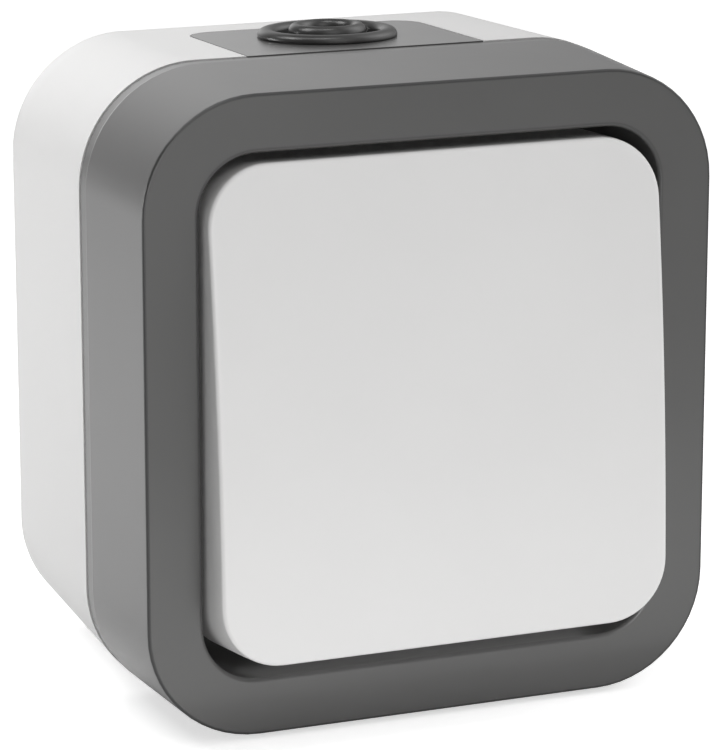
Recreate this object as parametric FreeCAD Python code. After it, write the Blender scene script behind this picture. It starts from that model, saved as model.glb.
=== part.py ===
import FreeCAD, Part
import math
import os
from FreeCAD import Rotation, Vector

os.makedirs("parts", exist_ok=True)

# Surface-mounted weatherproof switch. X to the right, Z up, Y into the wall.
# The origin is the middle of the back face, so the front looks along -Y.
# Lengths in millimetres, angles in degrees.

# Housing
housing_w = 66.0          # cover frame at its front face
housing_h = 70.4
housing_d = 46.6          # from the wall to the front face
housing_r = 12.7          # corner radius of the front face
frame_d = 19.15           # from the front face to the joint with the box
frame_flare = 0.45        # the frame grows by this on each side towards the joint
band_w = 1.6              # chamfered band round the frame's rear edge
band_in = 0.05
edge_bevel = 0.3          # on the front ring's outer and inner edge
border = 6.3              # width of the front ring
front_t = 2.0             # thickness of the front ring
skirt_t = 2.0
tray_t = 1.5              # side wall of the recess
recess_d = 12.0           # from the front face to the recess floor
floor_t = 2.0
window_w = 26.0           # window in the recess floor for the mechanism
window_h = 17.0
window_rim_t = 1.0
window_rim_h = 1.5
frame_rib_t = 1.2

# Back box
box_proud = 0.2           # the box stands this far outside the frame
box_taper = 0.8           # the box shrinks by this on each side towards the wall
box_wall = 2.2
box_floor_t = 2.4
box_bevel = 0.6           # on the edge at the wall
rebate_w = 1.1            # step inside the rim for the seal
rebate_d = 1.8
pillar_r = 3.0
pillar_from_side = 5.4    # from the side of the opening to the pillar's axis
pillar_from_end = 7.4     # from the top or bottom of the opening
pillar_rib_t = 1.2
mount_x = 11.0            # wall fixing holes
mount_z = 26.0
mount_hole_r = 2.2

# Cable entries
entry_w = 28.4            # notch in the top and bottom walls
entry_l = 21.25
entry_r = 3.5
entry_gap = 0.15
entry_lip = 1.5           # the plate reaches this far behind the wall
entry_lip_t = 1.1
entry_lip_gap = 0.1
grommet_from_joint = 11.85
ring_r = 7.95             # outer ring of the gland
ring_w = 2.0
ring_h = 1.0
ring_bevel = 0.55
collar_hole_r = 2.75      # raised collar round the closed hole
collar_r = 4.45
collar_bevel = 0.85
collar_h = 1.5
groove_h = 0.2            # rubber between the ring and the collar
skin_t = 0.6
skin_depth = 1.0
neck_r = 6.1
flange_r = 7.6
flange_t = 1.1
spout_l = 4.0
spout_r = 4.6
spout_wall = 1.0
grommet_gap = 0.05

# Fasteners
cover_screw_r = 1.25
cover_screw_head_r = 2.5
cover_screw_head_t = 1.6
cover_screw_grip = 11.0
insert_screw_r = 1.15
insert_screw_head_r = 2.6
insert_screw_head_t = 1.6
insert_screw_grip = 7.0
thread_gap = 0.05
access_gap = 0.3          # round a screw in a through hole
slot_w = 0.8
slot_depth = 0.7
boss_wall = 1.6

# Rocker, in its own frame with the pivot at the origin and the front towards -Y
tilt = 4.77               # half of the travel
pivot_d = 8.5             # from the front face of the frame to the pivot axis
rocker_side_gap = 0.55
rocker_end_gap = 1.9      # above and below, with the rocker level
rocker_r = 6.8
rocker_edge_reach = 11.2  # from the pivot to the front edge of the rocker
rocker_dome = 0.95        # rise of the domed front above its edges
rocker_flare = 0.15
rocker_bevel = 0.45
rocker_wall = 1.6
rocker_front_t = 1.8
rocker_rib_t = 1.2
rocker_rib_h = 1.6
rocker_rib_x = 17.0
rocker_rib_z = 15.0
hook_t = 1.4
hook_w = 3.6
hook_nose = 0.8
hook_z = 6.5

# Rocker cradle, same frame as the rocker
cradle_w = 20.0
cradle_h = 24.0
cradle_t = 2.0
cradle_reach = 7.6        # from the pivot to the front face of the cradle plate
trunnion_r = 2.0
arm_end_r = 2.65
bearing_gap = 0.06
arm_t = 2.1
arm_gap = 0.3
stem_r = 3.2
stem_l = 9.0
plunger_r = 1.9
plunger_gap = 0.05
plunger_l = 13.8
plunger_tip_r = 0.8
plunger_tip_l = 1.2
spring_wire = 0.4
spring_turns = 4
spring_steps = 12         # straight steps in a turn
spring_l = 6.4
spring_gap = 0.1

# Contact mechanism
lever_from_pivot = 18.1   # from the pivot to the lever's axis
lever_t = 1.0
lever_w = 5.0
lever_h = 19.6
lever_tilt = 9.0
lever_tip_gap = 0.3       # between the plunger and the level lever
lever_ear_t = 0.8
knife_gap = 0.12
ridge_r = 0.3             # rounding of the knife edge
contact_r = 1.5
contact_h = 0.8
contact_z = 8.3
contact_gap = 0.18
strip_t = 0.8
strip_w = 3.0

# Insert
insert_w = 36.0
insert_h = 36.0
insert_r = 1.5
insert_front_d = 18.6     # from the front face of the frame to the insert base
insert_floor_t = 3.7
insert_cover_t = 2.6
insert_screw_x = 21.5
lug_w = 6.4
lug_t = 2.0
post_r = 3.0
chamber_w = 10.0
chamber_h = 26.0
bearing_wall = 1.3
cheek_t = 2.2
cheek_gap = 1.6           # between the bearing cheeks and the sides of the window
cheek_root_h = 10.0
stem_slot_w = 8.4
stem_slot_h = 13.0
channel_gap = 0.15        # round the strips
gasket_w = 2.2
snap_w = 6.0              # snap hooks of the cover on the base
snap_t = 1.2
snap_l = 5.0
snap_nose = 0.6
snap_gap = 0.1

# Terminals
station_from_side = 6.0   # from the side of the insert to a terminal's middle
station_from_end = 4.5
pocket_w = 9.0
pocket_gap = 1.2
clamp_w = 6.6
clamp_l = 6.0
clamp_h = 8.0
clamp_t = 1.0
clamp_depth = 1.6         # below the front of the insert base
tab_w = 4.4
leaf_t = 0.4              # leaf springs that hold the wires
leaf_gap = 0.1
release_w = 4.0           # windows to reach the leaf springs
release_h = 3.0
earth_w = 12.0
earth_h = 5.5
earth_d = 7.0
earth_clear = 0.8         # between the earth clamp and the insert
earth_stand = 3.6
earth_holder_t = 1.0
earth_holder_h = 4.0
earth_gap = 0.1

# Planes across the depth, worked out from the sizes above
front_y = -housing_d
joint_y = front_y + frame_d
box_d = housing_d - frame_d
floor_y = front_y + recess_d
floor_back_y = floor_y + floor_t
pivot_y = front_y + pivot_d
insert_front_y = front_y + insert_front_d
cover_front_y = insert_front_y - insert_cover_t
lever_y = pivot_y + lever_from_pivot
swing = math.radians(lever_tilt)
contact_reach = contact_h * math.cos(swing) + (contact_z + contact_r) * math.sin(swing)
strip_y = lever_y + contact_reach + contact_gap + contact_h
chamber_y = strip_y + strip_t
insert_back_y = chamber_y + insert_floor_t
inside_y = -box_floor_t
opening_w = housing_w - 2 * border
opening_h = housing_h - 2 * border
opening_r = housing_r - border
rim_grow = frame_flare + box_proud
pillar_x = opening_w / 2 - pillar_from_side
pillar_z = opening_h / 2 - pillar_from_end
cheek_x = window_w / 2 - cheek_gap - cheek_t
station_x = insert_w / 2 - station_from_side
station_z = insert_h / 2 - station_from_end
taper_deg = math.degrees(math.atan(box_taper / box_d))
rocker_w = opening_w - 2 * rocker_side_gap
rocker_h = opening_h - 2 * rocker_end_gap
dome_r = (rocker_h ** 2 / 4 + rocker_dome ** 2) / (2 * rocker_dome)
dome_y = dome_r - rocker_edge_reach - rocker_dome
tip_reach = lever_from_pivot - lever_t - lever_tip_gap
bore_r = plunger_r + plunger_gap
bore_end = tip_reach - plunger_l - spring_l - 2 * spring_gap
earth_z = insert_h / 2 + earth_clear + earth_h / 2
pocket_z = station_z - clamp_l / 2 - pocket_gap
stations = [(-1, 1), (1, 1), (1, -1)]
corners = [(-1, -1), (-1, 1), (1, -1), (1, 1)]
screw_corners = [(-1, 1), (1, -1)]
over = 1.0                # cutting shapes run past what they cut by this


def outline(width, height, radius, y):
    """Closed rounded rectangle in the plane at y, centred on the Y axis."""
    a = width / 2
    b = height / 2
    k = radius * (1 - math.sqrt(0.5))
    edges = []
    for sx, sz in [(1, 1), (-1, 1), (-1, -1), (1, -1)]:
        start = Vector(sx * a, y, sz * (b - radius))
        end = Vector(sx * (a - radius), y, sz * b)
        if sx * sz < 0:
            start, end = end, start
        edges.append(Part.Arc(start, Vector(sx * (a - k), y, sz * (b - k)), end))
    wire = []
    for i, arc in enumerate(edges):
        following = edges[(i + 1) % 4]
        wire.append(arc.toShape())
        wire.append(Part.LineSegment(arc.EndPoint, following.StartPoint).toShape())
    return Part.Wire(wire)


def loft(wires):
    """Straight-sided solid through a row of outlines."""
    return Part.makeLoft(wires, True, True)


def prism(width, height, radius, y0, y1):
    """Rounded rectangular block from y0 to y1."""
    return Part.Face(outline(width, height, radius, y0)).extrude(Vector(0, y1 - y0, 0))


def block(x0, x1, y0, y1, z0, z1):
    """Box between two corners, given in any order."""
    low = Vector(min(x0, x1), min(y0, y1), min(z0, z1))
    return Part.makeBox(abs(x1 - x0), abs(y1 - y0), abs(z1 - z0), low)


def rod(radius, x, z, y0, y1):
    """Cylinder along Y."""
    return Part.makeCylinder(radius, abs(y1 - y0), Vector(x, min(y0, y1), z), Vector(0, 1, 0))


def turned(points):
    """Solid of revolution about Z from a closed profile given as (radius, height) points."""
    corners_rz = [Vector(r, 0, z) for r, z in points]
    profile = Part.makePolygon(corners_rz + corners_rz[:1])
    return Part.Face(profile).revolve(Vector(0, 0, 0), Vector(0, 0, 1), 360)


def profile_x(points, x0, x1):
    """Prism along X from a closed (y, z) profile."""
    corners_yz = [Vector(x0, y, z) for y, z in points]
    profile = Part.makePolygon(corners_yz + corners_yz[:1])
    return Part.Face(profile).extrude(Vector(x1 - x0, 0, 0))


def mirrored(shape):
    """The same shape on the bottom side."""
    return shape.mirror(Vector(0, 0, 0), Vector(0, 0, 1))


def rotated(shape, degrees, y):
    """Shape turned about the X direction through the point at y."""
    copy = shape.copy()
    copy.rotate(Vector(0, y, 0), Vector(1, 0, 0), degrees)
    return copy


def save(name, shapes):
    """Write one sub-part."""
    shapes = shapes if isinstance(shapes, list) else [shapes]
    solids = [s for shape in shapes for s in shape.Solids]
    whole = solids[0] if len(solids) == 1 else Part.makeCompound(solids)
    whole.exportStep(f"parts/{name}.step")


def box_body(inset, bevel=0):
    """The box's drafted outer form, with every side moved in by the inset."""
    w = housing_w + 2 * rim_grow - 2 * inset
    h = housing_h + 2 * rim_grow - 2 * inset
    r = housing_r + rim_grow - inset
    near = box_taper * (1 - bevel / box_d)
    far = box_taper + bevel
    sections = [outline(w, h, r, joint_y), outline(w - 2 * near, h - 2 * near, r - near, -bevel)]
    if bevel > 0:
        sections.append(outline(w - 2 * far, h - 2 * far, r - far, 0))
    return loft(sections)


def slotted_screw(x, z, head_y, head_r, head_t, shank_r, end_y):
    """Screw along Y with its head's front face at head_y."""
    screw = rod(head_r, x, z, head_y, head_y + head_t).fuse(rod(shank_r, x, z, head_y + head_t, end_y))
    slot = block(x - head_r, x + head_r, head_y, head_y + slot_depth, z - slot_w / 2, z + slot_w / 2)
    return screw.cut(slot).removeSplitter()


def make_cover_frame():
    """Front ring, drafted skirt, recess with a floor and window, and two screw bosses."""
    grown_w = housing_w + 2 * frame_flare
    grown_h = housing_h + 2 * frame_flare
    grown_r = housing_r + frame_flare
    e = edge_bevel
    body = loft([
        outline(housing_w - 2 * e, housing_h - 2 * e, housing_r - e, front_y),
        outline(housing_w, housing_h, housing_r, front_y + e),
        outline(grown_w, grown_h, grown_r, joint_y - band_w),
        outline(grown_w - 2 * band_in, grown_h - 2 * band_in, grown_r - band_in, joint_y),
    ])
    bevel = loft([
        outline(opening_w + 2 * e, opening_h + 2 * e, opening_r + e, front_y),
        outline(opening_w, opening_h, opening_r, front_y + e),
    ])
    body = body.cut(bevel).cut(prism(opening_w, opening_h, opening_r, front_y, floor_y))
    skirt_w = housing_w - 2 * skirt_t
    skirt_h = housing_h - 2 * skirt_t
    tray_w = opening_w + 2 * tray_t
    tray_h = opening_h + 2 * tray_t
    ring = prism(skirt_w, skirt_h, housing_r - skirt_t, front_y + front_t, joint_y)
    ring = ring.cut(prism(tray_w, tray_h, opening_r + tray_t, front_y, floor_back_y))
    for s in (-1, 1):
        for share in (-1, 1):
            rib_z = share * opening_h / 4
            ring = ring.cut(block(s * (tray_w / 2 - over), s * (skirt_w / 2 + over), front_y, floor_back_y,
                                  rib_z - frame_rib_t / 2, rib_z + frame_rib_t / 2))
            rib_x = share * opening_w / 4
            ring = ring.cut(block(rib_x - frame_rib_t / 2, rib_x + frame_rib_t / 2, front_y, floor_back_y,
                                  s * (tray_h / 2 - over), s * (skirt_h / 2 + over)))
    body = body.cut(ring)
    rim_w = window_w + 2 * window_rim_t
    rim_h = window_h + 2 * window_rim_t
    body = body.fuse(block(-rim_w / 2, rim_w / 2, floor_y - window_rim_h, floor_y, -rim_h / 2, rim_h / 2))
    body = body.cut(block(-window_w / 2, window_w / 2, front_y, joint_y, -window_h / 2, window_h / 2))
    hole_r = cover_screw_r + access_gap
    for sx, sz in screw_corners:
        x = sx * pillar_x
        z = sz * pillar_z
        body = body.fuse(rod(hole_r + boss_wall, x, z, floor_back_y, joint_y))
        body = body.cut(rod(hole_r, x, z, front_y, joint_y))
    return body.removeSplitter()


def notch(grow, length):
    """Upright block with the plan of a cable entry, open at the joint."""
    low_z = opening_h / 2
    half = entry_w / 2 + grow
    end = joint_y + length
    r = entry_r + grow
    k = r * (1 - math.sqrt(0.5))
    a = Vector(-half, joint_y, low_z)
    b = Vector(-half, end - r, low_z)
    c = Vector(-half + r, end, low_z)
    d = Vector(half - r, end, low_z)
    e = Vector(half, end - r, low_z)
    f = Vector(half, joint_y, low_z)
    plan = Part.Wire([
        Part.LineSegment(a, b).toShape(),
        Part.Arc(b, Vector(-half + k, end - k, low_z), c).toShape(),
        Part.LineSegment(c, d).toShape(),
        Part.Arc(d, Vector(half - k, end - k, low_z), e).toShape(),
        Part.LineSegment(e, f).toShape(),
        Part.LineSegment(f, a).toShape(),
    ])
    return Part.Face(plan).extrude(Vector(0, 0, housing_h))


def rebate_cut():
    """Step inside the rim of the box, down to the seal's seat."""
    grow = rim_grow - rebate_w
    return prism(housing_w + 2 * grow, housing_h + 2 * grow, housing_r + grow, joint_y, joint_y + rebate_d)


def make_back_box():
    """Drafted tray with rim step, screw pillars, insert posts, wall holes and entries."""
    hollow = box_body(box_wall).cut(block(-housing_w, housing_w, inside_y, over, -housing_h, housing_h))
    inside = box_body(box_wall / 2)
    body = box_body(0, box_bevel).cut(hollow).cut(rebate_cut())
    for sx, sz in screw_corners:
        x = sx * pillar_x
        z = sz * pillar_z
        stand = rod(pillar_r, x, z, inside_y, joint_y)
        stand = stand.fuse(block(x, sx * housing_w, inside_y, joint_y + rebate_d,
                                 z - pillar_rib_t / 2, z + pillar_rib_t / 2).common(inside))
        body = body.fuse(stand)
        bore_y = joint_y + cover_screw_grip + over
        body = body.cut(rod(cover_screw_r + thread_gap, x, z, joint_y, bore_y))
    for s in (-1, 1):
        x = s * insert_screw_x
        body = body.fuse(rod(post_r, x, 0, inside_y, insert_back_y))
        bore_y = insert_back_y + insert_screw_grip + over
        body = body.cut(rod(insert_screw_r + thread_gap, x, 0, insert_back_y, bore_y))
    for sx, sz in corners:
        body = body.cut(rod(mount_hole_r, sx * mount_x, sz * mount_z, joint_y, over))
    z0 = -earth_z - earth_h / 2
    z1 = -earth_z + earth_h / 2
    holder_x = earth_w / 2 + earth_gap
    end_x = holder_x + earth_holder_t
    stand_y = inside_y - earth_stand
    body = body.fuse(block(-end_x, end_x, inside_y, stand_y, z0, z1))
    for s in (-1, 1):
        body = body.fuse(block(s * holder_x, s * end_x, inside_y, stand_y - earth_holder_h, z0, z1))
    entry = notch(0, entry_l)
    return body.cut(entry).cut(mirrored(entry)).removeSplitter()


def entry_axis():
    """Point on the outer face of the top entry plate on the grommet's axis, and the face's normal."""
    y = joint_y + grommet_from_joint
    z = housing_h / 2 + rim_grow - grommet_from_joint * math.tan(math.radians(taper_deg))
    lean = math.radians(taper_deg)
    return Vector(0, y, z), Vector(0, math.sin(lean), math.cos(lean))


def make_entry_plate(gland):
    """Plate that slides into the top entry, flush outside, with a lip behind the wall."""
    deep = box_wall + entry_lip_gap + entry_lip_t
    shell = box_body(0).cut(box_body(deep))
    plate = shell.common(notch(-entry_gap, entry_l - entry_gap)).cut(rebate_cut())
    lip = box_body(box_wall + entry_lip_gap).cut(box_body(deep))
    lip = lip.common(notch(entry_lip, entry_l + entry_lip))
    lip = lip.cut(block(-housing_w, housing_w, joint_y, joint_y + rebate_d + entry_gap, 0, housing_h))
    plate = plate.fuse(lip)
    if gland:
        point, normal = entry_axis()
        hole = Part.makeCylinder(neck_r + grommet_gap, 4 * deep, point - normal * 2 * deep, normal)
        plate = plate.cut(hole)
    return plate.removeSplitter()


def make_grommet():
    """Turned rubber gland: raised ring, collar round a closed skin, neck, inner flange and spout."""
    under = -(box_wall + entry_lip_gap + entry_lip_t + 2 * grommet_gap)
    flange_end = under - flange_t
    tip = flange_end - spout_l
    skin_low = -skin_depth - skin_t
    ring_in = ring_r - ring_w
    gland = turned([
        (0, skin_low),
        (0, -skin_depth),
        (collar_hole_r, -skin_depth),
        (collar_hole_r, collar_h),
        (collar_r - collar_bevel, collar_h),
        (collar_r, groove_h),
        (ring_in, groove_h),
        (ring_in, ring_h),
        (ring_r - ring_bevel, ring_h),
        (ring_r, ring_h - ring_bevel),
        (ring_r, grommet_gap),
        (neck_r, grommet_gap),
        (neck_r, under),
        (flange_r, under),
        (flange_r, flange_end),
        (spout_r, flange_end),
        (spout_r, tip),
        (spout_r - spout_wall, tip),
        (spout_r - spout_wall, skin_low),
    ])
    point, normal = entry_axis()
    gland.Placement = FreeCAD.Placement(point, Rotation(Vector(0, 0, 1), normal))
    return gland


def make_seal():
    """Rubber ring in the rim step, under the frame's rear edge."""
    outer = rim_grow - rebate_w - thread_gap
    inner = rim_grow - box_wall
    ring = prism(housing_w + 2 * outer, housing_h + 2 * outer, housing_r + outer, joint_y, joint_y + rebate_d)
    return ring.cut(prism(housing_w + 2 * inner, housing_h + 2 * inner, housing_r + inner,
                          joint_y, joint_y + rebate_d))


def make_cover_screws():
    """Two screws through the recess floor into the pillars."""
    head_y = floor_y - cover_screw_head_t
    return [slotted_screw(sx * pillar_x, sz * pillar_z, head_y, cover_screw_head_r, cover_screw_head_t,
                          cover_screw_r, joint_y + cover_screw_grip) for sx, sz in screw_corners]


def domed_block():
    """The rocker's outer form: flared sides and a front domed from top to bottom."""
    front = -rocker_edge_reach - 2 * rocker_dome
    grow = 2 * rocker_flare
    form = loft([outline(rocker_w, rocker_h, rocker_r, front),
                 outline(rocker_w + grow, rocker_h + grow, rocker_r + rocker_flare, 0)])
    dome = Part.makeCylinder(dome_r, 2 * rocker_w, Vector(-rocker_w, dome_y, 0), Vector(1, 0, 0))
    return form.common(dome)


def make_rocker():
    """Domed shell with stiffening ribs and four hooks for the cradle."""
    shell = domed_block()
    rim = []
    for edge in shell.Edges:
        if edge.BoundBox.YMax < -rocker_edge_reach + rocker_dome:
            rim.append(edge)
    shell = shell.makeChamfer(rocker_bevel, rim)
    hollow = prism(rocker_w - 2 * rocker_wall, rocker_h - 2 * rocker_wall, rocker_r - rocker_wall,
                   -rocker_edge_reach - 2 * rocker_dome, 0)
    hollow = hollow.common(Part.makeCylinder(dome_r - rocker_front_t, 2 * rocker_w,
                                             Vector(-rocker_w, dome_y, 0), Vector(1, 0, 0)))
    inner_face = -rocker_edge_reach - rocker_dome + rocker_front_t
    ribs = []
    for s in (-1, 1):
        ribs.append(block(s * rocker_rib_x - rocker_rib_t / 2, s * rocker_rib_x + rocker_rib_t / 2,
                          inner_face, inner_face + rocker_rib_h, -rocker_h / 2, rocker_h / 2))
        ribs.append(block(-rocker_w / 2, rocker_w / 2, inner_face, inner_face + rocker_rib_h,
                          s * rocker_rib_z - rocker_rib_t / 2, s * rocker_rib_z + rocker_rib_t / 2))
    for sx, sz in corners:
        inner_x = cradle_w / 2 + thread_gap
        back = -cradle_reach + cradle_t + thread_gap
        z0 = sz * hook_z - hook_w / 2
        z1 = sz * hook_z + hook_w / 2
        ribs.append(block(sx * inner_x, sx * (inner_x + hook_t), inner_face, back + hook_nose, z0, z1))
        ribs.append(block(sx * (inner_x - hook_nose), sx * inner_x, back, back + hook_nose, z0, z1))
    for rib in ribs:
        hollow = hollow.cut(rib)
    return shell.cut(hollow).removeSplitter()


def make_cradle():
    """Plate with two trunnion arms and a hollow stem for the plunger."""
    back = -cradle_reach + cradle_t
    body = block(-cradle_w / 2, cradle_w / 2, -cradle_reach, back, -cradle_h / 2, cradle_h / 2)
    x_out = cheek_x - arm_gap
    for s in (-1, 1):
        arm = block(s * (x_out - arm_t), s * x_out, back, 0, -arm_end_r, arm_end_r)
        start = Vector(min(s * (x_out - arm_t), s * x_out), 0, 0)
        arm = arm.fuse(Part.makeCylinder(arm_end_r, arm_t, start, Vector(1, 0, 0)))
        pin_x = min(s * x_out, s * (cheek_x + cheek_t))
        pin = Part.makeCylinder(trunnion_r, cheek_t + arm_gap, Vector(pin_x, 0, 0), Vector(1, 0, 0))
        body = body.fuse(arm).fuse(pin)
    body = body.fuse(rod(stem_r, 0, 0, back, stem_l))
    return body.cut(rod(bore_r, 0, 0, bore_end, stem_l)).removeSplitter()


def make_plunger():
    """Pin with a blunt conical tip that slides in the cradle's stem."""
    shoulder = tip_reach - plunger_tip_l
    pin = rod(plunger_r, 0, 0, tip_reach - plunger_l, shoulder)
    tip = Part.makeCone(plunger_r, plunger_tip_r, plunger_tip_l, Vector(0, shoulder, 0), Vector(0, 1, 0))
    return pin.fuse(tip).removeSplitter()


def make_spring():
    """Compression spring behind the plunger: square wire wound in short straight steps."""
    coil_r = plunger_r - spring_wire / 2 - spring_gap
    rise = spring_l - spring_wire
    count = spring_turns * spring_steps
    path = []
    for i in range(count + 1):
        angle = math.radians(360 * i / spring_steps)
        path.append(Vector(coil_r * math.sin(angle), rise * i / count, coil_r * math.cos(angle)))
    half = spring_wire / 2
    square = [Vector(0, -half, coil_r - half), Vector(0, half, coil_r - half),
              Vector(0, half, coil_r + half), Vector(0, -half, coil_r + half)]
    section = Part.makePolygon(square + square[:1])
    coil = Part.makePolygon(path).makePipeShell([section], True, False, 1)
    coil.translate(Vector(0, bore_end + spring_gap + half, 0))
    return coil


def make_contact(z, face_y, toward):
    """Round contact on a face, pointing along +Y or -Y."""
    return Part.makeCylinder(contact_r, contact_h, Vector(0, face_y, z), Vector(0, toward, 0))


def make_lever():
    """See-saw plate with guide ears at its middle."""
    plate = block(-lever_w / 2, lever_w / 2, lever_y - lever_t, lever_y, -lever_h / 2, lever_h / 2)
    for s in (-1, 1):
        ear_in = s * (lever_w / 2 - lever_ear_t)
        plate = plate.fuse(block(s * lever_w / 2, ear_in, lever_y - 2 * lever_t, lever_y,
                                 -lever_w / 2, lever_w / 2))
    return rotated(plate.removeSplitter(), lever_tilt, lever_y)


def make_lever_contacts():
    """One contact rivet at each end of the lever."""
    ends = [make_contact(s * contact_z, lever_y, 1) for s in (-1, 1)]
    return [rotated(end, lever_tilt, lever_y) for end in ends]


def tab_planes():
    """Front and back of a terminal tab, which lies against its clamp's front wall."""
    front = insert_front_y + clamp_depth + clamp_t
    return front, front + strip_t


def make_tab(sx, sz):
    """Riser and tab of a contact strip in the terminal pocket at one corner."""
    tab_front, tab_back = tab_planes()
    x0 = sx * (station_x - tab_w / 2)
    x1 = sx * (station_x + tab_w / 2)
    riser = block(x0, x1, tab_front, chamber_y, sz * pocket_z, sz * (pocket_z + strip_t))
    return riser.fuse(block(x0, x1, tab_front, tab_back, sz * pocket_z, sz * (station_z + clamp_l / 2)))


def make_fixed_strip(sz):
    """Strip of one way, from under the lever's contact to its terminal."""
    far_x = station_x + tab_w / 2
    pad_end = max(contact_z, pocket_z) + strip_w
    pad = block(-strip_w, strip_w, strip_y, chamber_y, sz * (contact_z - strip_w), sz * pad_end)
    link = block(0, far_x, strip_y, chamber_y, sz * pocket_z, sz * (pocket_z + strip_w))
    return pad.fuse(link).fuse(make_tab(1, sz)).removeSplitter()


def make_common():
    """Common strip with the knife edge that the lever rocks on."""
    apex = lever_y + knife_gap
    half = strip_w / 2
    foot = block(-strip_w, strip_w, strip_y, chamber_y, -strip_w, strip_w)
    ridge_y = apex + ridge_r
    foot_y = strip_y + strip_t / 2
    flanks = [(ridge_y, ridge_r), (foot_y, half), (foot_y, -half), (ridge_y, -ridge_r)]
    knife = profile_x(flanks, -lever_w / 2, lever_w / 2)
    knife = knife.fuse(Part.makeCylinder(ridge_r, lever_w, Vector(-lever_w / 2, ridge_y, 0), Vector(1, 0, 0)))
    far_x = station_x + tab_w / 2
    near_x = station_x - tab_w / 2
    link = block(-far_x, 0, strip_y, chamber_y, -half, half)
    rise = block(-far_x, -near_x, strip_y, chamber_y, -half, pocket_z + strip_t)
    return foot.fuse(knife).fuse(link).fuse(rise).fuse(make_tab(-1, 1)).removeSplitter()


def make_fixed_contacts():
    """One contact rivet on each fixed strip."""
    return [make_contact(s * contact_z, strip_y, -1) for s in (-1, 1)]


def make_insert_base():
    """Moulded body with contact chamber, terminal pockets, strip channels and fixing lugs."""
    body = prism(insert_w, insert_h, insert_r, insert_front_y, insert_back_y)
    lug_y = insert_back_y - lug_t
    for s in (-1, 1):
        x = s * insert_screw_x
        body = body.fuse(block(0, x + s * lug_w / 2, lug_y, insert_back_y, -lug_w / 2, lug_w / 2))
        body = body.cut(rod(insert_screw_r + access_gap, x, 0, lug_y, insert_back_y))
        notch_y = insert_front_y + snap_l - snap_nose - snap_gap
        side_z = s * (insert_h / 2 - snap_nose)
        body = body.cut(block(-snap_w / 2 - snap_gap, snap_w / 2 + snap_gap, notch_y,
                              insert_front_y + snap_l + snap_gap, side_z, s * insert_h))
    half = chamber_w / 2
    body = body.cut(block(-half, half, insert_front_y, chamber_y, -chamber_h / 2, chamber_h / 2))
    for sx, sz in stations:
        x0 = sx * (station_x - pocket_w / 2)
        x1 = sx * (station_x + pocket_w / 2)
        body = body.cut(block(x0, x1, insert_front_y, chamber_y, sz * pocket_z, sz * insert_h))
    for sz in (-1, 1):
        body = body.cut(block(0, station_x, insert_front_y, chamber_y,
                              sz * pocket_z, sz * (pocket_z + strip_w + channel_gap)))
    far_x = station_x + tab_w / 2 + channel_gap
    near_x = station_x - tab_w / 2 - channel_gap
    half = strip_w / 2 + channel_gap
    body = body.cut(block(-far_x, 0, insert_front_y, chamber_y, -half, half))
    body = body.cut(block(-far_x, -near_x, insert_front_y, chamber_y, -half, pocket_z))
    return body.removeSplitter()


def make_insert_cover():
    """Lid with bearing cheeks, stem slot, snap hooks and windows over the terminals."""
    plate = prism(insert_w, insert_h, insert_r, cover_front_y, insert_front_y)
    end_r = trunnion_r + bearing_gap + bearing_wall
    root = cheek_root_h / 2
    for s in (-1, 1):
        x0 = min(s * cheek_x, s * (cheek_x + cheek_t))
        cheek = Part.makeCylinder(end_r, cheek_t, Vector(x0, pivot_y, 0), Vector(1, 0, 0))
        web = [(pivot_y, -end_r), (cover_front_y, -root), (cover_front_y, root), (pivot_y, end_r)]
        cheek = cheek.fuse(profile_x(web, x0, x0 + cheek_t))
        hole = Part.makeCylinder(trunnion_r + bearing_gap, cheek_t, Vector(x0, pivot_y, 0), Vector(1, 0, 0))
        plate = plate.fuse(cheek).cut(hole)
        leg_z = s * (insert_h / 2 + snap_gap)
        out_z = leg_z + s * snap_t
        nose_z = leg_z - s * snap_nose
        end_y = insert_front_y + snap_l
        nose_y = end_y - snap_nose
        bridge_z = s * (insert_h / 2 - snap_t)
        hook = [(cover_front_y, bridge_z), (cover_front_y, out_z), (end_y, out_z), (end_y, leg_z),
                (nose_y, nose_z), (nose_y, leg_z), (insert_front_y, leg_z), (insert_front_y, bridge_z)]
        plate = plate.fuse(profile_x(hook, -snap_w / 2, snap_w / 2))
    plate = plate.cut(block(-stem_slot_w / 2, stem_slot_w / 2, cover_front_y, insert_front_y,
                            -stem_slot_h / 2, stem_slot_h / 2))
    for sx, sz in stations:
        x0 = sx * station_x - release_w / 2
        z0 = sz * station_z - release_h / 2
        plate = plate.cut(block(x0, x0 + release_w, cover_front_y, insert_front_y, z0, z0 + release_h))
    return plate.removeSplitter()


def make_insert_screws():
    """Two screws through the lugs into the box's posts."""
    head_y = insert_back_y - lug_t - insert_screw_head_t
    return [slotted_screw(s * insert_screw_x, 0, head_y, insert_screw_head_r, insert_screw_head_t,
                          insert_screw_r, insert_back_y + insert_screw_grip) for s in (-1, 1)]


def make_gasket():
    """Rubber ring round the floor window, between the floor and the insert cover."""
    x = window_w / 2
    z = window_h / 2
    ring = block(-x - gasket_w, x + gasket_w, floor_back_y, cover_front_y, -z - gasket_w, z + gasket_w)
    return ring.cut(block(-x, x, floor_back_y, cover_front_y, -z, z))


def cage(x0, x1, y0, y1, z0, z1, chambers):
    """Folded clamp cage, open to the wires at both ends, with a wall between its chambers."""
    body = block(x0, x1, y0, y1, z0, z1)
    step = (x1 - x0 - clamp_t) / chambers
    for i in range(chambers):
        start = x0 + clamp_t + i * step
        body = body.cut(block(start, start + step - clamp_t, y0 + clamp_t, y1 - clamp_t, z0, z1))
    return body


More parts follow.
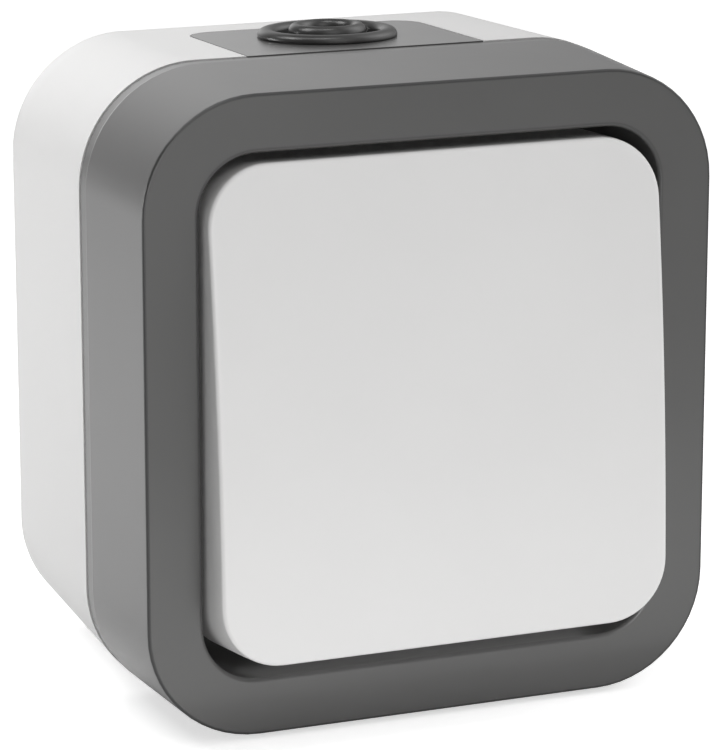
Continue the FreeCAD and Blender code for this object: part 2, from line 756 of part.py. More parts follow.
def leaf_spring(x, back, tip, z_in, z_out):
    """Bent leaf: a foot on the cage's back wall, and a leaf that slants from the mouth to the front."""
    slant = leaf_t * math.hypot(back - tip, z_out - z_in) / abs(z_out - z_in)
    share = (slant + leaf_t) / (back - tip)
    root_z = z_out + (z_in - z_out) * share
    points = [(back, z_in), (back, z_out), (tip, z_in), (tip + slant, z_in), (back - leaf_t, root_z),
              (back - leaf_t, z_in)]
    return profile_x(points, x - tab_w / 2, x + tab_w / 2)


def make_clamps():
    """One clamp cage at each terminal."""
    front = insert_front_y + clamp_depth
    return [cage(sx * station_x - clamp_w / 2, sx * station_x + clamp_w / 2, front, front + clamp_h,
                 sz * (station_z - clamp_l / 2), sz * (station_z + clamp_l / 2), 1) for sx, sz in stations]


def make_terminal_springs():
    """One leaf spring in each cage, which presses its wire on the tab."""
    back = insert_front_y + clamp_depth + clamp_h - clamp_t
    tip = tab_planes()[1] + leaf_gap
    return [leaf_spring(sx * station_x, back, tip, sz * (station_z - clamp_l / 2),
                        sz * (station_z + clamp_l / 2)) for sx, sz in stations]


def make_earth_clamp():
    """Brass cage for two earth wires."""
    back = inside_y - earth_stand
    return cage(-earth_w / 2, earth_w / 2, back - earth_d, back, -earth_z - earth_h / 2,
                -earth_z + earth_h / 2, 2)


def make_earth_springs():
    """One leaf spring in each chamber of the earth clamp."""
    back = inside_y - earth_stand
    x = (earth_w - clamp_t) / 4
    return [leaf_spring(s * x, back - clamp_t, back - earth_d + clamp_t + leaf_gap,
                        -earth_z + earth_h / 2, -earth_z - earth_h / 2) for s in (-1, 1)]


def on_pivot(shape):
    """Piece of the rocker set, moved to the pivot and tilted with its top pressed in."""
    copy = shape.copy()
    copy.translate(Vector(0, pivot_y, 0))
    return rotated(copy, -tilt, pivot_y)


save("back_box", make_back_box())
save("cover_frame", make_cover_frame())
save("top_entry_plate", make_entry_plate(True))
save("bottom_entry_plate", mirrored(make_entry_plate(False)))
save("cable_gland", make_grommet())
save("housing_seal", make_seal())
save("cover_screws", make_cover_screws())
save("rocker", on_pivot(make_rocker()))
save("rocker_cradle", on_pivot(make_cradle()))
save("plunger", on_pivot(make_plunger()))
save("plunger_spring", on_pivot(make_spring()))
save("contact_lever", make_lever())
save("lever_contacts", make_lever_contacts())
save("common_terminal", make_common())
save("upper_contact_strip", make_fixed_strip(1))
save("lower_contact_strip", make_fixed_strip(-1))
save("fixed_contacts", make_fixed_contacts())
save("insert_base", make_insert_base())
save("insert_cover", make_insert_cover())
save("insert_screws", make_insert_screws())
save("mechanism_gasket", make_gasket())
save("terminal_clamps", make_clamps())
save("terminal_springs", make_terminal_springs())
save("earth_clamp", make_earth_clamp())
save("earth_springs", make_earth_springs())
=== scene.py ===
import math
import bmesh
import bpy
import numpy as np
from mathutils import Matrix, Vector


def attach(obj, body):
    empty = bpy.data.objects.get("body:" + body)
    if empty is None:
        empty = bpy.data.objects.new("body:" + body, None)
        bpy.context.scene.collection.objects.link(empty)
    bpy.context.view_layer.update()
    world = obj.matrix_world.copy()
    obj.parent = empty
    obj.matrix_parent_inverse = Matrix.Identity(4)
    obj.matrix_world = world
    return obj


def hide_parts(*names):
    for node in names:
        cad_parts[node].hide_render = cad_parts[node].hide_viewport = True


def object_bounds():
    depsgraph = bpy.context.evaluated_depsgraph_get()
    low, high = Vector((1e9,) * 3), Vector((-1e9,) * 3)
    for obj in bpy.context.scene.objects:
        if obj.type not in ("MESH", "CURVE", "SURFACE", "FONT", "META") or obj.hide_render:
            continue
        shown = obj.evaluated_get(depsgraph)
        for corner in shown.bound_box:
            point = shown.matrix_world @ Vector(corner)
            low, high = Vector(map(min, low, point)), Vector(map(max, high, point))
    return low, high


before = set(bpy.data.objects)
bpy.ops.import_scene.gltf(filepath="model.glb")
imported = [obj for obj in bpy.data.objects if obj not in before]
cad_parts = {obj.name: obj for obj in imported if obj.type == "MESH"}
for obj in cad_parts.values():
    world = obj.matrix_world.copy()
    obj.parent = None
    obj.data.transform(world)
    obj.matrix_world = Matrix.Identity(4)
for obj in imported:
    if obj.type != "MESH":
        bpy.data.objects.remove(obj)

# Surface-mounted weatherproof switch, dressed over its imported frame. Lengths are millimetres
# until a mesh is made; X to the right, Z up, Y into the wall, front towards -Y.
MM = 0.001
cad_box = [list(corner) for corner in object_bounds()]

# Housing, as in the construction
HOUSING = (66.0, 70.4, 12.7)      # width, height and corner radius of the front face
FRONT_Y = -46.6
JOINT_Y = -27.45                  # joint of frame and box
FLARE = 0.45                      # growth of the frame's sides from the front to the joint
BOX_PROUD = 0.2                   # the box stands this far outside the frame
BOX_TAPER = 0.8                   # the box shrinks by this on each side towards the wall
REAR_ROUND = 0.85                 # gain of the box's corner radius towards the wall
FADE_DEPTH = 6.0                  # the gain fades out this far inside the corner,
FADE_OVER = 2.5                   # over this way

# Cover frame
BORDER = 6.3                      # width and thickness of the front ring
RING_T = 2.0
SKIRT = 2.0                       # thickness of the skirt and of the recess's side wall
TRAY = 1.5
FLOOR_Y = -34.6                   # recess floor, its front and back
FLOOR_BACK_Y = -32.6
BAND = ((-2.4, 0.65), (-2.0, 0.58), (-0.16, 0.54))   # rear band: place from the joint and growth
BAND_R = 0.06
JOINT_GAP = 1.1                   # depth of the fine gap between frame and box
OUTER_EDGE_R = 0.27               # rounding of the front ring's two edges
INNER_EDGE_R = 0.45
SKIRT_END_R = 0.3
INSIDE_R = 0.4
WINDOW = (26.0, 17.0, 0.4)        # window in the recess floor: width, height and corner radius
WINDOW_RIM = (1.0, 1.5)           # thickness and height of its rim
PILLARS = ((-21.3, 21.5), (21.3, -21.5))
BOSS = (1.55, 3.15)               # inner and outer radius of the screw bosses on those places
INTO_FLOOR = 0.4                  # bosses and ribs reach this far into the walls they stand on
INTO_RING = 0.3
INTO_SKIRT = 0.2
RIB_HALF = 0.6                    # half the thickness of all ribs
EDGE_SHADE_FROM = -24.0                 # painted shade on the inner edge's rounding grows upwards from this height, to 1 over this way, but not past its most
EDGE_SHADE_OVER = 50.0                  # to 1 over this way, but not past its most
EDGE_SHADE_MOST = 0.7

# Rocker, in its own frame with the pivot at the origin
PIVOT_Y = -38.1
TILT = math.radians(-4.77)
ROCKER = (52.3, 54.0, 6.8)        # width, height and corner radius at the front
ROCKER_REACH = 11.2               # from the pivot to the front's upper and lower edge
ROCKER_DOME = 0.95                # height of the dome over those edges
ROCKER_FLARE = 0.15
ROCKER_WALL = 1.6
ROCKER_FRONT = 1.8
ROCKER_EDGE_R = 0.42              # roundings of the front and rear edge
ROCKER_REAR_R = 0.25
ROCKER_REAR_SHARPER = 1.0         # loss of the corner radius towards the open back
ROCKER_SIDE_TOP = -9.5            # depths where the straight side starts, outside
ROCKER_INSIDE_TOP = -8.6          # and inside
ROCKER_DRAFT = 0.1                # gain of the wall's thickness at the open back
ROCKER_LIP = 0.05
ROCKER_SHARES = (0.04, 0.985)     # of the outline, from the front's middle to its rounding
ROCKER_EDGE_FLARE = 0.2           # share of the flare that the rounding ends with
ROCKER_RIBS = (17.0, 15.0)        # places of the ribs across and along
ROCKER_RIB_REACH = (24.5, 25.0)
ROCKER_RIB_H = 1.6
HOOK_Z = 6.5
HOOK_HALF_W = 1.8
HOOK_STEM = (10.05, 11.45)        # from the middle to both sides of a hook's stem
HOOK_NOSE = (9.25, 10.1)          # and of its nose
HOOK_END = -4.75
HOOK_NOSE_T = 0.8

# Gland, in its own frame with the plate's surface at height 0
GLAND_LEAN = math.atan(BOX_TAPER / -JOINT_Y)
GLAND_Y = 11.85                   # from the joint
GLAND_POINT = np.array([0.0, JOINT_Y + GLAND_Y,
                        HOUSING[1] / 2 + FLARE + BOX_PROUD - GLAND_Y * math.tan(GLAND_LEAN)])
GLAND_COLLAR = (2.75, 4.45, 0.5, 1.5)   # inner and outer radius, foot and top
GLAND_RING = (5.95, 7.95, 0.28, 1.0)
RING_UNDER = 0.05                 # the ring's underside clears the plate by this
SKIN_EDGE = [(2.0, -2.1), (2.45, -2.0), (2.66, -1.7), (2.75, -1.3)]
GROOVE = [(4.47, 0.0), (4.55, -0.6), (4.7, -0.72), (5.6, -0.72), (5.85, -0.6), (5.93, 0.0)]
SKIN = (-2.1, -2.7)               # front and back of the closed skin
NECK_R = 6.1
PLATE_BACK = -3.5                 # back of the plate's wall, where the inner flange lies
FLANGE = (7.6, 1.1)               # radius and thickness
SPOUT = (3.6, 4.6, 4.0)           # inner and outer radius and length

# Meshes
CORNER_STEPS = 14
FILLET_STEPS = 7
CREST_STEPS = 14
BOSS_STEPS = 40
GLAND_STEPS = 96
ROCKER_SIDE_STEPS = 26            # along each straight side of the rocker's outline
ROCKER_LOOPS = (26, 9, 5, 12)     # over its front, round both edges and back over its inside
NEAR_AXIS = 0.02                  # radius at which a turned surface starts, closed by a cap
SUPPORT = 0.12                    # supporting points lie this far outside a rounding
MERGE = 0.002                     # points of a copied solid closer than this are one
SHARP = math.radians(30)          # edges of a copied solid above this stay sharp


# ---------------------------------------------------------------- surfaces
def rounded_loop(width, height, radius, side_steps):
    """Closed rounded rectangle as (x, z) rows: each corner is its centre plus radius times
    (cos t, sin t) over a quarter turn, and the sides between corners are divided evenly."""
    a = width / 2 - radius
    b = height / 2 - radius
    quarter = np.linspace(0, np.pi / 2, CORNER_STEPS + 1)
    rows = []
    centres = [(a, b), (-a, b), (-a, -b), (a, -b)]
    for i, (cx, cz) in enumerate(centres):
        t = quarter + i * np.pi / 2
        arc = np.stack([cx + radius * np.cos(t), cz + radius * np.sin(t)], 1)
        rows.append(arc)
        nx, nz = centres[(i + 1) % 4]
        turn = (i + 1) * np.pi / 2
        start = arc[-1]
        end = np.array([nx + radius * math.cos(turn), nz + radius * math.sin(turn)])
        share = np.linspace(0, 1, side_steps + 1)[1:-1, None]
        rows.append(start + (end - start) * share)
    return np.concatenate(rows)


def at_depth(xz, y):
    """Loop of (x, z) rows placed at the depth y, which is one number or one for each row."""
    return np.stack([xz[:, 0], np.broadcast_to(y, len(xz)), xz[:, 1]], 1)


def loops_to_mesh(loops, ends):
    """Vertices and faces of a tube through a stack of equal loops, shape (loops, points, 3).
    ends is "ring" where the last loop joins the first, "caps" where each end closes on the
    middle of its loop."""
    count, around, _ = loops.shape
    verts = loops.reshape(-1, 3)
    i = np.arange(count if ends == "ring" else count - 1)[:, None]
    j = np.arange(around)[None, :]
    k = (j + 1) % around
    n = (i + 1) % count
    quads = np.stack([i * around + j, i * around + k, n * around + k, n * around + j], -1)
    faces = quads.reshape(-1, 4).tolist()
    if ends == "caps":
        first, last = len(verts), len(verts) + 1
        verts = np.concatenate([verts, loops[:1].mean(1), loops[-1:].mean(1)])
        j = np.arange(around)
        k = (j + 1) % around
        faces += np.stack([np.full(around, first), k, j], 1).tolist()
        base = (count - 1) * around
        faces += np.stack([np.full(around, last), base + j, base + k], 1).tolist()
    return verts, faces


def fillet(corner, before, after, radius):
    """Profile points that round a corner: the circle of the radius that touches both legs,
    with a supporting point just outside each end so that the shading stays on the rounding.
    The third column is 1 on the circle and 0 on the supporting points."""
    corner, before, after = (np.asarray(p, float) for p in (corner, before, after))
    u = (before - corner) / np.linalg.norm(before - corner)
    v = (after - corner) / np.linalg.norm(after - corner)
    half = math.acos(np.clip(u @ v, -1, 1)) / 2
    reach = radius / math.tan(half)
    centre = corner + (u + v) / np.linalg.norm(u + v) * radius / math.sin(half)
    a = corner + u * reach - centre
    b = corner + v * reach - centre
    sweep = math.pi - 2 * half
    t = np.linspace(0, 1, FILLET_STEPS + 1)[:, None]
    arc = (np.sin((1 - t) * sweep) * a + np.sin(t * sweep) * b) / math.sin(sweep)
    points = centre + arc
    beyond = min(SUPPORT, 0.4 * radius)
    run = np.concatenate([[points[0] + u * beyond], points, [points[-1] + v * beyond]])
    # 1 on the rounding: the cover frame paints shade on the points marked so
    painted_shade_weight = np.ones((len(run), 1))
    painted_shade_weight[[0, -1]] = 0
    return np.concatenate([run, painted_shade_weight], 1)


def rounded_profile(corners):
    """Open profile through (a, b, radius) corners, each rounded by its own radius, 0 for sharp.
    Each row is a, b and whether the point lies on a rounding."""
    pts = [np.array(c[:2], float) for c in corners]
    out = []
    for i, c in enumerate(corners):
        if c[2] > 0:
            out.append(fillet(pts[i], pts[i - 1], pts[i + 1], c[2]))
        else:
            out.append(np.array([[*pts[i], 0.0]]))
    return np.concatenate(out)


def turned(profile, steps):
    """Surface of revolution about the third axis: (r cos t, r sin t, h) for each (r, h)."""
    t = np.linspace(0, 2 * np.pi, steps, endpoint=False)
    r = profile[:, :1]
    h = np.broadcast_to(profile[:, 1:], (len(profile), steps))
    return np.stack([r * np.cos(t), r * np.sin(t), h], -1)


def slab(low, high):
    """Closed block between two corners, as eight points and six faces that look outwards."""
    low, high = np.minimum(low, high), np.maximum(low, high)
    bits = np.array([[x, y, z] for x in (0, 1) for y in (0, 1) for z in (0, 1)])
    verts = low + bits * (high - low)
    faces = [[0, 1, 3, 2], [4, 6, 7, 5], [0, 4, 5, 1], [2, 3, 7, 6], [0, 2, 6, 4], [1, 5, 7, 3]]
    return verts, faces


def outward(verts, faces):
    """The same shell with its faces pointing outwards: they turn over where the sum of
    a . (b x c) over its triangles, six times the volume, is negative."""
    volume = 0.0
    for f in faces:
        a = verts[f[0]]
        for m in range(1, len(f) - 1):
            volume += a @ np.cross(verts[f[m]], verts[f[m + 1]])
    return verts, faces if volume > 0 else [f[::-1] for f in faces]


def add(name, data):
    """New object of the data, in the scene."""
    obj = bpy.data.objects.new(name, data)
    bpy.context.scene.collection.objects.link(obj)
    return obj


def piece(name, shells, body, slot, replaced, edge=None):
    """One object from closed shells of (vertices in mm, faces), in its slot's material, that
    stands for the replaced nodes. edge holds the first vertices' values of the attribute that
    marks the rounded edges for painted shade, which is 0 on the rest."""
    verts, faces = np.empty((0, 3)), []
    for v, f in shells:
        v, f = outward(v, f)
        faces += [[n + len(verts) for n in face] for face in f]
        verts = np.concatenate([verts, v])
    mesh = bpy.data.meshes.new(name)
    mesh.from_pydata((verts * MM).tolist(), [], faces)
    mesh.materials.append(MATERIALS[slot])
    mesh.polygons.foreach_set("use_smooth", [True] * len(faces))
    if edge is not None:
        shade_mark = np.zeros(len(verts), np.float32)
        shade_mark[:len(edge)] = edge
        mesh.attributes.new("edge", "FLOAT", "POINT").data.foreach_set("value", shade_mark)
    mesh.update()
    obj = add(name, mesh)
    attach(obj, body)
    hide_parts(*replaced)


# ---------------------------------------------------------------- materials
COAT_ROUGHNESS = 0.22
PLASTIC_RELIEF = 0.02             # depths of the bump
METAL_RELIEF = 0.01


def node_group(name, inputs, outputs):
    """Empty shader group with its sockets, and its input and output nodes."""
    group = bpy.data.node_groups.new(name, "ShaderNodeTree")
    for label, default in inputs:
        socket = group.interface.new_socket(label, in_out="INPUT", socket_type="NodeSocketFloat")
        socket.default_value = default
    for label in outputs:
        group.interface.new_socket(label, in_out="OUTPUT", socket_type="NodeSocketFloat")
    return group, group.nodes.new("NodeGroupInput"), group.nodes.new("NodeGroupOutput")


def math_node(tree, operation, a, b):
    """Math node whose operands are numbers or sockets."""
    node = tree.nodes.new("ShaderNodeMath")
    node.operation = operation
    for socket, value in zip(node.inputs, (a, b)):
        if isinstance(value, (int, float)):
            socket.default_value = value
        else:
            tree.links.new(value, socket)
    return node.outputs[0]


def noise(tree, scale, detail):
    """Noise on object coordinates; the scale's socket gives waves per metre."""
    coords = tree.nodes.new("ShaderNodeTexCoord")
    node = tree.nodes.new("ShaderNodeTexNoise")
    node.inputs["Detail"].default_value = detail
    tree.links.new(coords.outputs["Object"], node.inputs["Vector"])
    tree.links.new(scale, node.inputs["Scale"])
    return node.outputs["Fac"]


def make_moulded_skin():
    """Moulded plastic: a fine spark-eroded grain for the bump, a roughness that wavers with the
    grain, and a mask for a faint cloudiness of the colour."""
    group, given, result = node_group(
        "moulded_skin",
        [("Grain Scale", 4200.0), ("Roughness", 0.35), ("Roughness Spread", 0.08),
         ("Cloud Scale", 60.0)],
        ["Height", "Roughness", "Cloud"])
    grain = noise(group, given.outputs["Grain Scale"], 1.0)
    cloud = noise(group, given.outputs["Cloud Scale"], 4.0)
    wander = math_node(group, "SUBTRACT", cloud, 0.5)
    spread = math_node(group, "MULTIPLY", wander, given.outputs["Roughness Spread"])
    rough = math_node(group, "ADD", spread, given.outputs["Roughness"])
    group.links.new(grain, result.inputs["Height"])
    group.links.new(rough, result.inputs["Roughness"])
    group.links.new(cloud, result.inputs["Cloud"])
    return group


def make_drawn_metal():
    """Rolled or drawn metal: fine lines stretched along X for the bump and the roughness, and a
    mask for the faint tarnish of the colour."""
    group, given, result = node_group(
        "drawn_metal",
        [("Line Scale", 2600.0), ("Roughness", 0.3), ("Roughness Spread", 0.2),
         ("Tarnish Scale", 220.0)],
        ["Height", "Roughness", "Tarnish"])
    coords = group.nodes.new("ShaderNodeTexCoord")
    stretch = group.nodes.new("ShaderNodeMapping")
    stretch.inputs["Scale"].default_value = (0.08, 1.0, 1.0)
    group.links.new(coords.outputs["Object"], stretch.inputs["Vector"])
    lines = group.nodes.new("ShaderNodeTexNoise")
    lines.inputs["Detail"].default_value = 2.0
    group.links.new(stretch.outputs["Vector"], lines.inputs["Vector"])
    group.links.new(given.outputs["Line Scale"], lines.inputs["Scale"])
    tarnish = noise(group, given.outputs["Tarnish Scale"], 3.0)
    wander = math_node(group, "SUBTRACT", lines.outputs["Fac"], 0.5)
    spread = math_node(group, "MULTIPLY", wander, given.outputs["Roughness Spread"])
    rough = math_node(group, "ADD", spread, given.outputs["Roughness"])
    group.links.new(lines.outputs["Fac"], result.inputs["Height"])
    group.links.new(rough, result.inputs["Roughness"])
    group.links.new(tarnish, result.inputs["Tarnish"])
    return group


def linear(level, warm=0.0):
    """Linear colour of an sRGB grey level from 0 to 255, red raised and blue lowered by warm."""
    out = []
    for shift in (warm, 0.0, -warm):
        c = (level + shift) / 255
        out.append(c / 12.92 if c <= 0.04045 else ((c + 0.055) / 1.055) ** 2.4)
    return (*out, 1.0)


def surface(name, group, mask, values, dark, light, metallic, bump, depth, coat=0.0,
            painted_shade_level=None):
    """Principled material that mixes two close colours by the group's mask, takes its roughness
    from the group and its bump from the group's height. With an edge level, the places that the
    edge attribute marks get that darker grey as painted shade, and no coat."""
    mat = bpy.data.materials.new(name)
    mat.use_nodes = True
    tree = mat.node_tree
    shader = tree.nodes["Principled BSDF"]
    shader.inputs["Metallic"].default_value = metallic
    shader.inputs["Coat Weight"].default_value = coat
    shader.inputs["Coat Roughness"].default_value = COAT_ROUGHNESS
    skin = tree.nodes.new("ShaderNodeGroup")
    skin.node_tree = group
    for label, value in values.items():
        skin.inputs[label].default_value = value
    mix = tree.nodes.new("ShaderNodeMix")
    mix.data_type = "RGBA"
    mix.inputs["A"].default_value = dark
    mix.inputs["B"].default_value = light
    tree.links.new(skin.outputs[mask], mix.inputs["Factor"])
    tree.links.new(mix.outputs["Result"], shader.inputs["Base Color"])
    # painted shade: the roundings that the edge attribute marks get a darker grey and lose their
    # coat
    if painted_shade_level:
        shade_mark = tree.nodes.new("ShaderNodeAttribute")
        shade_mark.attribute_name = "edge"
        painted_shade_mix = tree.nodes.new("ShaderNodeMix")
        painted_shade_mix.data_type = "RGBA"
        painted_shade_mix.inputs["B"].default_value = linear(painted_shade_level)
        tree.links.new(shade_mark.outputs["Fac"], painted_shade_mix.inputs["Factor"])
        tree.links.new(mix.outputs["Result"], painted_shade_mix.inputs["A"])
        tree.links.new(painted_shade_mix.outputs["Result"], shader.inputs["Base Color"])
        painted_shade_weight = math_node(tree, "MULTIPLY", shade_mark.outputs["Fac"], coat)
        tree.links.new(math_node(tree, "SUBTRACT", coat, painted_shade_weight), shader.inputs["Coat Weight"])
    tree.links.new(skin.outputs["Roughness"], shader.inputs["Roughness"])
    if bump:
        relief = tree.nodes.new("ShaderNodeBump")
        relief.inputs["Strength"].default_value = bump
        relief.inputs["Distance"].default_value = depth * MM
        tree.links.new(skin.outputs["Height"], relief.inputs["Height"])
        tree.links.new(relief.outputs["Normal"], shader.inputs["Normal"])
    return mat


moulded_skin = make_moulded_skin()
drawn_metal = make_drawn_metal()


def plastic(name, level, warm=0.5, roughness=0.35, grain=4200.0, bump=0.15, spread=2.0, coat=0.0,
            painted_shade_level=None):
    """Moulded plastic or rubber of an sRGB grey level, with a cloudiness of a few levels."""
    values = {"Grain Scale": grain, "Roughness": roughness, "Roughness Spread": 0.1,
              "Cloud Scale": 60.0}
    return surface(name, moulded_skin, "Cloud", values, linear(level - spread, warm),
                   linear(level + spread, warm), 0.0, bump, PLASTIC_RELIEF, coat, painted_shade_level)


def metal(name, dark, light, roughness=0.3, bump=0.1):
    """Metal whose colour runs between two linear colours."""
    values = {"Line Scale": 2600.0, "Roughness": roughness, "Roughness Spread": 0.25,
              "Tarnish Scale": 220.0}
    return surface(name, drawn_metal, "Tarnish", values, (*dark, 1.0), (*light, 1.0), 1.0,
                   bump, METAL_RELIEF)


MATERIALS = {
    "shell_grey": plastic("shell_grey", 218, roughness=0.36, bump=0.03),
    # the front ring's roundings get painted shade at a grey of 56
    "frame_grey": plastic("frame_grey", 75, roughness=0.32, bump=0.02, coat=0.7,
                          painted_shade_level=56),
    "rocker_grey": plastic("rocker_grey", 221, roughness=0.32, bump=0.03),
    "entry_grey": plastic("entry_grey", 80, roughness=0.34, bump=0.02, coat=0.9),
    "gland_black": plastic("gland_black", 44, roughness=0.32, grain=3000.0, bump=0.2),
    "seal_black": plastic("seal_black", 30, roughness=0.7, grain=2600.0, bump=0.3),
    "insert_white": plastic("insert_white", 226, roughness=0.4),
    "cradle_grey": plastic("cradle_grey", 150, roughness=0.4),
    "zinc_steel": metal("zinc_steel", (0.52, 0.54, 0.56), (0.66, 0.67, 0.69)),
    "spring_steel": metal("spring_steel", (0.42, 0.43, 0.45), (0.56, 0.57, 0.58), 0.24),
    "brass": metal("brass", (0.62, 0.44, 0.17), (0.75, 0.56, 0.25)),
    "copper_strip": metal("copper_strip", (0.65, 0.30, 0.17), (0.80, 0.42, 0.26)),
    "silver_contact": metal("silver_contact", (0.78, 0.77, 0.74), (0.88, 0.87, 0.85), 0.2),
}

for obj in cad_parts.values():
    for holder in obj.material_slots:
        holder.material = MATERIALS[holder.material.name.split(".")[0]]


# ---------------------------------------------------------------- back box
def box_points(points):
    """Points of the box in mm, with its four long corners made rounder towards the wall. In the
    quadrant round the new corner centre a point moves in along its ray by the distance between
    the old outline and the new arc, and the move fades out on the way to the inside."""
    share = np.clip(1 - points[:, 1] / JOINT_Y, 0, 1)
    out = FLARE + BOX_PROUD - BOX_TAPER * share
    old_r = HOUSING[2] + out
    gain = REAR_ROUND * share
    new_r = old_r + gain
    half = np.array(HOUSING[:2]) / 2 + out[:, None]
    ray = np.abs(points[:, [0, 2]]) - (half - new_r[:, None])
    far = np.linalg.norm(ray, axis=1)
    unit = ray / np.maximum(far, 1e-9)[:, None]
    along = gain * unit.sum(1)
    arc = along + np.sqrt(np.maximum(along ** 2 - 2 * gain ** 2 + old_r ** 2, 0))
    on_arc = (arc[:, None] * unit > gain[:, None]).all(1)
    edge = np.where(on_arc, arc, new_r / np.maximum(unit.max(1), 1e-9))
    fade = np.clip((far - new_r + FADE_DEPTH) / FADE_OVER, 0, 1)
    move = np.where((ray > 0).all(1), (edge - new_r) * fade, 0.0)
    signs = np.sign(points[:, [0, 2]])
    moved = points.copy()
    moved[:, [0, 2]] -= signs * unit * move[:, None]
    return moved


def make_box():
    """Back box: a merged copy of its solid's mesh with rounder rear corners."""
    work = bmesh.new()
    work.from_mesh(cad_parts["back_box"].data)
    bmesh.ops.remove_doubles(work, verts=work.verts, dist=MERGE * MM)
    mesh = bpy.data.meshes.new("box_shell")
    work.to_mesh(mesh)
    work.free()
    points = np.empty(len(mesh.vertices) * 3)
    mesh.vertices.foreach_get("co", points)
    points = box_points(points.reshape(-1, 3) / MM) * MM
    mesh.vertices.foreach_set("co", points.ravel())
    mesh.polygons.foreach_set("use_smooth", [True] * len(mesh.polygons))
    mesh.set_sharp_from_angle(angle=SHARP)
    mesh.materials.clear()
    mesh.materials.append(MATERIALS["shell_grey"])
    mesh.update()
    obj = add("box_shell", mesh)
    even = obj.modifiers.new("even_shading", "WEIGHTED_NORMAL")
    even.keep_sharp = True
    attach(obj, "housing")
    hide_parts("back_box")


make_box()


# ---------------------------------------------------------------- cover frame
def outline_loops(outline, profile):
    """Profile of (grow, y) points carried round a rounded rectangle (width, height, radius):
    each loop is that outline grown by so much, at that depth."""
    w, h, r = outline
    return [at_depth(rounded_loop(w + 2 * grow, h + 2 * grow, r + grow, 1), y)
            for grow, y in profile]


def cover_frame_shells():
    """Front ring, drafted side, rear band, skirt, tray and recess floor as one closed ring of
    loops; with the two screw bosses and the ribs between tray and skirt as blocks. Also gives
    each point's painted shade mark: 1 on the outer rounding, and on the inner one a value that
    falls from the top to nothing at the bottom."""
    inside_y = FRONT_Y + RING_T
    rim_t, rim_h = WINDOW_RIM
    outer = rounded_profile([
        (-BORDER, FLOOR_Y, 0),
        (-BORDER, FRONT_Y, INNER_EDGE_R),
        (0, FRONT_Y, OUTER_EDGE_R),
        *[(grow, JOINT_Y + y, BAND_R) for y, grow in BAND],
        (FLARE - JOINT_GAP, JOINT_Y + BAND[-1][0], 0),
        (FLARE - JOINT_GAP, JOINT_Y, 0),
        (-SKIRT, JOINT_Y, SKIRT_END_R),
        (-SKIRT, inside_y, INSIDE_R),
        (-BORDER + TRAY, inside_y, INSIDE_R),
        (-BORDER + TRAY, FLOOR_BACK_Y, 0),
    ])
    window = [(0.0, FLOOR_BACK_Y), (0.0, FLOOR_Y - rim_h),
              (rim_t, FLOOR_Y - rim_h), (rim_t, FLOOR_Y)]
    loops = np.array(outline_loops(HOUSING, outer[:, :2]) + outline_loops(WINDOW, window))
    shells = [loops_to_mesh(loops, "ring")]
    # painted shade on the front ring's roundings: all of the outer one, the inner one fading out
    # downwards
    front = (outer[:, 2] > 0) & (outer[:, 1] < FRONT_Y + 1)
    inner = front & (outer[:, 0] < -BORDER / 2)
    edge = np.zeros(loops.shape[:2])
    edge[:len(outer)] = front[:, None]
    heights = loops[:len(outer)][inner][..., 2]
    edge[:len(outer)][inner] = np.clip((heights - EDGE_SHADE_FROM) / EDGE_SHADE_OVER, 0, EDGE_SHADE_MOST)
    near, far = FLOOR_BACK_Y - INTO_FLOOR, JOINT_Y
    hole_r, boss_r = BOSS
    for x, z in PILLARS:
        tube = turned(np.array([(hole_r, near), (boss_r, near), (boss_r, far), (hole_r, far)]),
                      BOSS_STEPS)
        tube = np.stack([x + tube[..., 0], tube[..., 2], z + tube[..., 1]], -1)
        shells.append(loops_to_mesh(tube, "ring"))
    half_w = HOUSING[0] / 2 - BORDER
    half_h = HOUSING[1] / 2 - BORDER
    near = inside_y - INTO_RING
    tray = TRAY - INTO_RING
    skirt = BORDER - SKIRT + INTO_SKIRT
    for s in (-1, 1):
        for share in (-0.5, 0.5):
            z = share * half_h
            shells.append(slab((s * (half_w + tray), near, z - RIB_HALF),
                               (s * (half_w + skirt), FLOOR_BACK_Y, z + RIB_HALF)))
            x = share * half_w
            shells.append(slab((x - RIB_HALF, near, s * (half_h + tray)),
                               (x + RIB_HALF, FLOOR_BACK_Y, s * (half_h + skirt))))
    return shells, edge.ravel()


shells, edge = cover_frame_shells()
piece("cover_shell", shells, "housing", "frame_grey", ["cover_frame"], edge)


